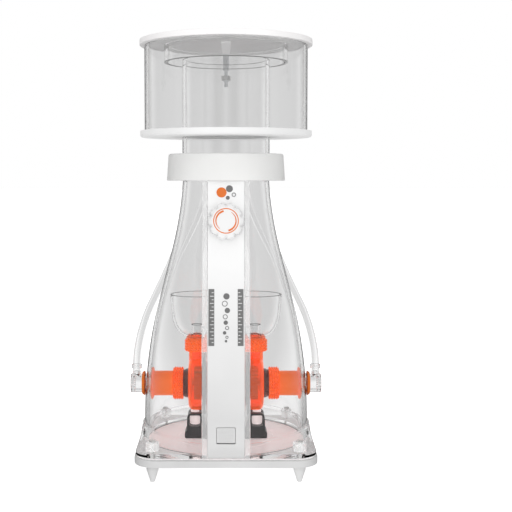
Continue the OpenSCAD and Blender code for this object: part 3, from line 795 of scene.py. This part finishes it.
def make_panel():
    thick, half = 2.5, 22.5
    line = [(-r, z) for r, z in panel_line()]
    outline = line + [(y + thick, z) for y, z in line[::-1]]
    panel = prism("panel_face", outline, -half, half, "panel_white", along="x", bevel=0.6)
    cut(panel, prism("latch_opening", square_window(), -130, -90, "panel_white", place=FRONT))
    seat = lathe("knob_seat", rounded_rect(4.05, -2.8, 13, 1.2, (0, 0, 0.5, 0.2)),
                 "panel_white", KNOB_PLACE, steps=64)
    place_piece(join("panel_face", panel, seat), "body", "white_shell", "front_panel")


def square_window():
    """Outline of the latch's opening, as (x, z) points."""
    return rounded_rect(-11.6, 51.1, 11.6, 71.5, 1.2)


def make_latch():
    """The push latch and its ribs; a grey ring in its gap and a dark bar below it are painted shade."""
    middle = 61.3
    y = panel_point(middle)[0]
    face = rounded_rect(-11.1, 52.5, 11.1, 70.8, 1.0)
    pad = prism("latch_pad", face, y + 0.15, y + 4.0, "panel_white", bevel=0.5, place=FRONT)
    room = rounded_rect(-11.15, 52.45, 11.15, 70.85, 1)
    # Painted shade: a grey ring that shows in the gap round the pad.
    gap_shade = prism("latch_gap_shade", square_window(), y + 2.6, y + 3.0, "painted_gap_shade", place=FRONT)
    cut(gap_shade, prism("pad_room", room, y - 1, y + 5, "painted_gap_shade", place=FRONT))
    # Painted shadow: a dark bar under the pad.
    shadow_bar = rounded_rect(-11.0, 51.2, 11.0, 52.4, 0.3, 3)
    shadow_bar = prism("latch_shadow_bar", shadow_bar, y + 1.6, y + 2.5, "sawn_edge", place=FRONT)
    place_piece(join("latch_gap_shade", gap_shade, shadow_bar), "body", "white_shell")
    ribs, first, pitch, half = [], 54.4, 1.75, 0.45
    for i in range(9):
        z = first + pitch * i
        rib = rounded_rect(-9.3, z - half, 9.3, z + half, 0.4, 3)
        ribs.append(prism(f"latch_rib_{i}", rib, y - 0.25, y + 1.5, "panel_white", bevel=0.15, place=FRONT))
    place_piece(join("latch_pad", pad, *ribs), "latch", "white_shell", "latch")


def make_scales():
    """Two level scales, each a dark strip with fifteen white divisions, every second one longer."""
    low, high, divisions, line = 169.8, 237.2, 16, 0.35
    for side in SIDES:
        name = side_name(side)
        x0, x1 = sorted((side * 14.2, side * 21.2))
        strip = panel_patch(f"level_scale_{name}", x0, x1, low, high, 0.03, 0.22, "scale_print", 24)
        ticks = []
        for i in range(1, divisions):
            z = low + (high - low) * i / divisions
            inner, length = side * 14.9, 4.4 if i % 2 == 0 else 2.4
            t0, t1 = sorted((inner, inner + side * length))
            ticks.append(panel_patch(f"tick_{name}_{i}", t0, t1, z - line, z + line, 0.2, 0.15,
                                     "print_white", 1))
        place_piece(strip, "body", "scale_print", "level_scales")
        place_piece(join(f"tick_{name}_1", *ticks), "body", "white_shell")


def make_panel_mark():
    """A generic mark of rising bubbles at the top, and a column of bubbles between the scales."""
    top = [panel_disc("mark_orange", -5.5, 354, 6.2, 0.0, "orange_trim"),
           panel_disc("mark_grey", 4.2, 358.5, 4.2, 0.0, "scale_print"),
           panel_disc("mark_small", 2.2, 347.5, 2.4, 0.0, "scale_print"),
           panel_disc("mark_ring", 9.6, 351.2, 2.6, 1.7, "scale_print")]
    place_piece(join("mark_orange", *top), "body", "orange_trim", "panel_mark")
    column, z, line, space = [], 174.0, 0.75, 1.4
    for i in range(9):
        r = 1.5 + 0.28 * i
        x = 1.7 * sin(2.4 * i)
        column.append(panel_disc(f"bubble_{i}", x, z + r, r, r - line if i % 2 else 0.0, "scale_print"))
        z += 2 * r + space
    place_piece(join("bubble_0", *column), "body", "scale_print")


def lobes(r, z, angle):
    """Narrow notches between the knob's ten lobes, deepest at the rim."""
    inner, full, count, depth, width = 17.6, 3.0, 10, 2.7, 0.17
    if r < inner:
        return r
    phase = ((angle + pi / 2) * count / (2 * pi) + 0.5) % 1 - 0.5
    return r - depth * exp(-(phase / width) ** 2) * min((r - inner) / full, 1.0)


def make_knob():
    outline = rounded([(0, 13.9, 0), (11.9, 13.9, 0.3), (12.1, 14.05, 0.2), (17.3, 14.0, 2.0),
                       (21.2, 11.8, 2.2), (22.4, 8.5, 2.0), (22.4, 2.6, 0.8), (21.0, 1.8, 0.6),
                       (4.1, 1.8, 0.2), (4.1, 5.8, 0), (0, 5.8, 0)], 5)
    knob = lathe("knob_cap", outline, "white_shell", KNOB_PLACE, steps=240, ripple=lobes, sharp=50)
    place_piece(knob, "knob", "white_shell", "knob")
    ring = rounded_rect(14.4, 13.9, 15.5, 14.3, (0, 0, 0.12, 0.12), 3)
    parts = [lathe("knob_orange_ring", ring, "orange_trim", KNOB_PLACE)]
    middle, face, top, steps = 12.2, 13.85, 14.3, 40
    for start, end in ((104, 232), (-76, 58)):      # two tapering arcs
        verts, faces = [], []
        for i in range(steps + 1):
            t = i / steps
            angle = radians(start + (end - start) * t)
            half = 0.18 + 0.95 * (1 - t) ** 0.8
            for r in (middle - half, middle + half):
                for z in (face, top):
                    verts.append((r * cos(angle), r * sin(angle), z))
        for i in range(steps):
            a, b = 4 * i, 4 * i + 4
            faces += [(a, b, b + 1, a + 1), (a + 2, a + 3, b + 3, b + 2), (a + 1, b + 1, b + 3, a + 3),
                      (a, a + 2, b + 2, b)]
        faces += [(0, 1, 3, 2), (4 * steps, 4 * steps + 2, 4 * steps + 3, 4 * steps + 1)]
        parts.append(build(f"knob_arc_{len(parts)}", verts, faces, "orange_trim", KNOB_PLACE))
    place_piece(join("knob_orange_ring", *parts), "knob", "orange_trim", "knob_ring")


# -------- collar, cup and lid
def make_collar():
    low, high = low_z("collar"), high_z("collar")
    outline = rounded([(51, 383.1, 0.3), (55.9, 383.1, 0), (55.9, low, 0.6), (60, low, 0.4), (60, 398, 0.5),
                       (72.6, 398, 0.5), (72.6, low, 0.4), (76.2, low, 1.2), (74.0, high, 2.4),
                       (57.0, high, 1.0), (57.0, 385, 0.3), (51, 385, 0.6)], 5)
    place_piece(lathe("collar_shell", outline, "collar_white", steps=160), "body", "white_shell", "collar")


def edge_rings(name, radii, z, place, body, slot, mirror=False):
    """Painted shade at a clear tube's end: thin dark rings where its sawn edges show as dark lines."""
    half, below, above = 0.3, 0.35, 0.1
    rings = [lathe(f"edge_{r}", rect(r - half, z - below, r + half, z + above), "sawn_edge", place, mirror)
             for r in radii]
    place_piece(join(name, *rings), body, slot)


def make_cup():
    low, high, top = low_z("cup_plate"), high_z("cup_plate"), high_z("cup_wall")
    plate = rounded([(56.3, low, 0.3), (108.9, low, 0.5), (110.4, low + 2.2, 0.5), (110.4, high, 0.6),
                     (105.2, high, 0.4), (104.9, high - GAP * 2, 0), (56.3, high - GAP * 2, 0.3)])
    plate = lathe("cup_plate_moulding", plate, "plate_white", steps=192)
    place_piece(plate, "cup", "white_shell", "cup_plate")
    wall = rounded_rect(100, high, 104.55, top, (0.3, 0.3, 0.6, 0.6), 3)
    place_piece(lathe("cup_wall_clear", wall, "clear_cup", steps=192), "cup", "clear_cup", "cup_wall")
    low, high = low_z("riser") + GAP, high_z("riser")
    riser = rounded_rect(52.2, low, 56.15, high, (0.5, 0.5, 0.9, 0.9), 3)
    place_piece(lathe("riser_clear", riser, "clear_cup", steps=160), "cup", "clear_cup", "riser")
    edge_rings("riser_edges", (52.9, 55.5), high, None, "cup", "clear_cup")


def arc(radius, start, end, step):
    """Points on a circle, from start to just before end in degrees; 0 is the front."""
    return [(radius * sin(radians(angle)), -radius * cos(radians(angle)))
            for angle in range(start, end, step)]


def make_lid():
    """The lid, the clear ring that centres it, the float switch that hangs from it, and the float."""
    ring_low, ring_height, high = low_z("lid_ring"), 21.7, high_z("lid")
    low = ring_low + ring_height
    lid = rounded_rect(0, low, 110.7, high, (0, 0.5, 0.7, 0), 5)
    top = lathe("lid_moulding", lid, "lid_white", steps=192)
    tab = arc(111.9, -12, 13, 1) + arc(107, 12, -13, -1)
    tab = prism("lid_tab", tab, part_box("lid")[0].z / MM + 0.05, high - 1.5, "lid_white", bevel=0.7)
    place_piece(join("lid_moulding", top, tab), "lid", "white_shell", "lid")
    ring = rounded_rect(75.3, ring_low, 79.25, low - GAP, (0.7, 0.7, 0, 0), 3)
    place_piece(lathe("lid_ring_clear", ring, "clear_cup", steps=160), "lid", "clear_cup", "lid_ring")
    edge_rings("lid_ring_edges", (75.9, 78.7), ring_low + 0.3, None, "lid", "clear_cup")
    y = (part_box("float")[0].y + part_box("float")[1].y) / 2 / MM
    stem = rounded([(0, 495.8, 0), (2.85, 495.8, 0.6), (2.85, 502.7, 0), (4.6, 502.7, 0.4),
                    (4.6, 504.5, 0.4), (2.85, 504.5, 0), (2.85, 517.6, 0), (4.75, 517.6, 0.5),
                    (4.75, low - GAP, 0), (0, low - GAP, 0)], 3)
    stem = lathe("float_switch_stem", stem, "switch_plastic", upright(0, y, 0), steps=48)
    place_piece(stem, "lid", "grey_plastic", "float_switch")
    rib = rounded([(-4.7, 72, 0.5), (4.7, 72, 0.5), (6.0, -10, 3), (5.4, -44, 5.2), (-5.4, -44, 5.2),
                   (-6.0, -10, 3)], 6)
    rib = prism("lid_rib", rib, low - 1.6, low - GAP, "rib_white", bevel=0.4)
    place_piece(rib, "lid", "white_shell")
    low, high = low_z("float"), high_z("float")
    ring = rounded_rect(2.95, low, 6.9, high, (0.2, 0.4, 0.4, 0.2))
    ring = lathe("float_body", ring, "float_foam", upright(0, y, 0), steps=48)
    place_piece(ring, "float", "float_foam", "float")


# -------- pumps
def make_bowl(side):
    name, mirror, place, wall = side_name(side), side > 0, upright(-OUTLET_X, 0, 0), 2.2
    outer = curve_points(BOWL_CURVE, 28)
    inner = [(r - wall, z + wall * 0.8) for r, z in outer if z < 217]      # up to the rim
    outline = [(6.3, 156.2), (10.9, 156.2), (10.9, 157.8), (9.4, 157.8), (9.4, 165)] + outer
    outline += [(34.6, 221.0), (33.2, 221.0), (32.8, 220.3)] + inner[::-1]
    outline += [(7.6, 168), (7.6, 181), (6.3, 181)]
    bowl = lathe(f"bowl_clear_{name}", outline, "clear_bowl", place, mirror)
    place_piece(bowl, "body", "clear_fitting", f"bubble_bowl_{name}")
    edge_rings(f"bowl_edge_{name}", (33.0, 34.7), 220.9, place, "body", "clear_fitting", mirror)
    edge_rings(f"standpipe_edge_{name}", (6.6, 7.3), 180.9, place, "body", "clear_fitting", mirror)


# The left air hose's route, from its stub on the fitting to the barb under the collar
HOSE = [(STUB_X, 0, 119.6), (STUB_X, 0, 130), (-115.5, 3, 146), (-112, 9, 166), (-107, 15, 184),
        (-101, 21, 200), (-93, 28, 217), (-84, 35, 236), (-76, 41, 254), (-69, 46, 270), (-58, 52, 288),
        (-46, 56, 310), (-36, 58, 332), (-31, 58.5, 348), (-30, 58.5, 359.9)]


def make_hose(side):
    path = smooth_path([(-side * x, y, z) for x, y, z in HOSE])
    name = f"air_hose_{side_name(side)}"
    place_piece(tube(name + "_clear", path, 5.15, 3.3, "hose_clear"), "body", "hose_clear", name)


def knurl(radius, ribs, pitch, start, depth):
    """Square studs: grooves along the axis, ribs of them, crossed by grooves round it, one each pitch."""
    def shape(r, z, angle):
        if r < radius - 0.4:        # below the knurled surface
            return r
        along = min(1.0, 1.7 * (0.5 + 0.5 * cos(ribs * angle)))
        around = min(1.0, 1.9 * (0.5 + 0.5 * cos(2 * pi * (z - start) / pitch)))
        return r - depth * (1 - along * around)
    return shape


def rim(radius, z0, z1):
    """Closely spaced points up a cylinder, for a knurl to shape."""
    spacing = 0.42
    count = round((z1 - z0) / spacing)
    return [(radius, z0 + (z1 - z0) * i / count) for i in range(count + 1)]


def make_nuts(side):
    name, right, union_r, outlet_r = side_name(side), side > 0, 21.1, 16.5
    union = [(17.9, 6.2), (16.4, 6.2), (16.4, 0.2), (20.2, 0.2)] + rim(union_r, 1.1, 13.2)
    union += [(20.2, 13.4), (17.9, 13.4)]
    nut = lathe(f"union_nut_studs_{name}", union, "orange_nut", along_pump(-68.9), right, steps=216,
                ripple=knurl(union_r, 30, 3.0, 2.65, 1.5), sharp=60)
    place_piece(nut, f"union_nut_{name}", "orange_nut", f"union_nut_{name}")
    outlet = [(11.5, 147.1), (15.6, 147.1)] + rim(outlet_r, 147.6, 161.6)
    outlet += [(15.4, 161.9), (14.3, 162.6), (14.2, 164.1), (9.95, 164.1), (9.95, 158.1), (11.5, 158.1)]
    nut = lathe(f"outlet_nut_studs_{name}", outlet, "orange_nut", upright(-OUTLET_X, 0, 0), right, steps=180,
                ripple=knurl(outlet_r, 26, 3.5, 149.35, 1.4), sharp=60)
    place_piece(nut, f"outlet_nut_{name}", "orange_nut", f"outlet_nut_{name}")


def make_volute(side):
    """The pump housing with its outlet tower, hollow, and the dark flange at its inlet."""
    name, right = side_name(side), side > 0
    lying, standing = along_pump(VOLUTE_X), upright(-OUTLET_X, 0, 0)
    look = "orange_volute"
    shell = rounded_rect(0, 0, 34.9, 18.5, (0, 7.5, 0.6, 0), 8)
    volute = lathe(f"volute_shell_{name}", shell, look, lying, right)
    tower = rounded_rect(0, 126, 11, 156, (0, 0, 0.5, 0), 3)
    tower = lathe("tower", tower, look, standing, right, steps=64)
    cut_block(tower, rect(-30.05, -20, -10, 20), 100, 170, right)
    combine(volute, tower, "UNION")
    inside = rounded_rect(0, 3, 31, 19, (0, 5, 0, 0), 6)
    cut(volute, lathe("inside", inside, look, lying, right, steps=96))
    bore(volute, lying, 12, -1, 9, right, 64)
    bore(volute, standing, 7, 110, 160, right, 48)
    place_piece(volute, "body", "orange_volute", f"volute_{name}")
    flange = rounded([(12, 0.1, 0.5), (17.5, 0.1, 0.8), (17.5, 6.5, 0.6), (18.2, 7.0, 0.6),
                      (19.4, 11.3, 0.3), (12, 11.3, 0.3)])
    flange = lathe(f"inlet_flange_turned_{name}", flange, "dark_flange", along_pump(-60), right, steps=96)
    place_piece(flange, "body", "dark_flange", f"inlet_flange_{name}")


def make_intake():
    """The parts along each pump's intake: pipe, bulkhead lip, saddle cone, and fitting with its hose stub."""
    stand, grip_r = upright(STUB_X, 0, 0), 12.4
    tubes, flanges, washers, fittings = [], [], [], []
    for side in SIDES:
        right = side > 0
        pipe = rounded([(13, 0, 0.3), (16, 0, 0.2), (16, 31.4, 0), (17.5, 31.6, 0.4), (17.5, 33.8, 0.4),
                        (13, 33.8, 0.3)], 3)
        tubes.append(lathe("intake_pipe", pipe, "orange_pipe", along_pump(-94), right, steps=96))
        lip = rounded([(11, 0.4, 0.2), (16, 0.4, 0.3), (16, 1.2, 0), (20.7, 1.5, 0.3), (20.7, 3.2, 0.6),
                       (16.05, 3.4, 0), (16.05, 4.8, 0), (11, 4.8, 0)], 3)
        flanges.append(lathe("bulkhead_lip", lip, "orange_pipe", along_pump(-98.9), right, steps=96))
        cone = rounded([(10.95, 0, 0.2), (14.0, 0, 0.6), (16.3, 3.1, 0.5), (15.4, 3.6, 0.4),
                        (10.95, 3.6, 0.2)], 3)
        washers.append(lathe("saddle_cone", cone, "orange_trim", along_pump(-109.3), right, steps=96))
        body = [(8, 0.2), (11.2, 0.2)] + rim(grip_r, 0.7, 4.9)
        body += [(11.6, 5.0), (11.95, 5.2), (11.95, 14.8), (10.75, 15), (10.75, 19), (12.3, 19.2),
                 (12.3, 22.6), (10.75, 23.4), (10.75, 32), (8, 32)]
        fitting = lathe("air_fitting", body, "clear_fitting", along_pump(-124.3), right, steps=160,
                        ripple=knurl(grip_r, 20, 20, 2.8, 1.1), sharp=45)
        stub = rounded_rect(0, 112, 5.1, 119.4, (0, 0.3, 0.5, 0), 3)
        combine(fitting, lathe("stub", stub, "clear_fitting", stand, right, steps=40), "UNION")
        bore(fitting, stand, 2.6, 106, 121, right, 24)
        fittings.append(fitting)
    place_piece(join("intake_pipes", *tubes), "body", "orange_pipe", "intake_tubes")
    place_piece(join("bulkhead_lips", *flanges), "body", slot_of["bulkhead_flanges"], "bulkhead_flanges")
    place_piece(join("saddle_cones", *washers), "body", slot_of["saddle_washers"], "saddle_washers")
    place_piece(join("air_fittings_clear", *fittings), "body", "clear_fitting", "air_fittings")


def make_feet():
    """Black foot blocks with a window in front, and the pale pegs that carry the pumps."""
    blocks, pegs = [], []
    stand, bed_x, plate_x = upright(PEG_X, 0, 0), -70, -30.2
    for side in SIDES:
        right = side > 0
        face = rounded([(-53.4, 34.2, 2), (-53.4, 42.4, 2.5), (-51, 44, 1), (-50, 67.2, 6),
                        (-29.2, 67.2, 4), (-23.3, 34.2, 3)], 5)
        block = prism("foot_block", face, -14.6, 14.6, "black_plastic", bevel=2.4, mirror=right, place=FRONT)
        window = rounded([(-48, 50.3, 2.5), (-48, 64.3, 2.5), (-33, 64.3, 2.5), (-33, 50.3, 2.5)])
        cut(block, prism("window", window, -20, 0.5, "black_plastic", mirror=right, place=FRONT))
        bore(block, along_pump(bed_x), 35.3, 0, 60, right)          # room for the pump,
        bore(block, along_pump(plate_x), 40.2, 0, 10, right)        # for its motor plate,
        bore(block, stand, 7.45, 50.2, 80, right, 64)               # and for the peg
        blocks.append(block)
        peg = rounded([(0, 50.3, 0), (6.4, 50.3, 1.6), (6.85, 56, 0.4), (6.85, 62.6, 1.2), (5.5, 63.2, 0.4),
                       (5.5, 72.8, 0.2), (0, 72.8, 0)])
        peg = lathe("peg", peg, "peg_silicone", stand, right, steps=64)
        bore(peg, along_pump(bed_x), 35.15, 0, 60, right)
        pegs.append(peg)
    place_piece(join("foot_blocks", *blocks), "body", "black_plastic", "pump_feet")
    place_piece(join("foot_peg_pair", *pegs), "body", "peg_silicone", "foot_pegs")


make_base()
make_skirt()
make_floor_disc()
make_bottle()
make_duct()
make_panel()
make_latch()
make_scales()
make_panel_mark()
make_knob()
make_collar()
make_cup()
make_lid()
make_intake()
make_feet()
for hand in SIDES:
    make_bowl(hand)
    make_hose(hand)
    make_nuts(hand)
    make_volute(hand)
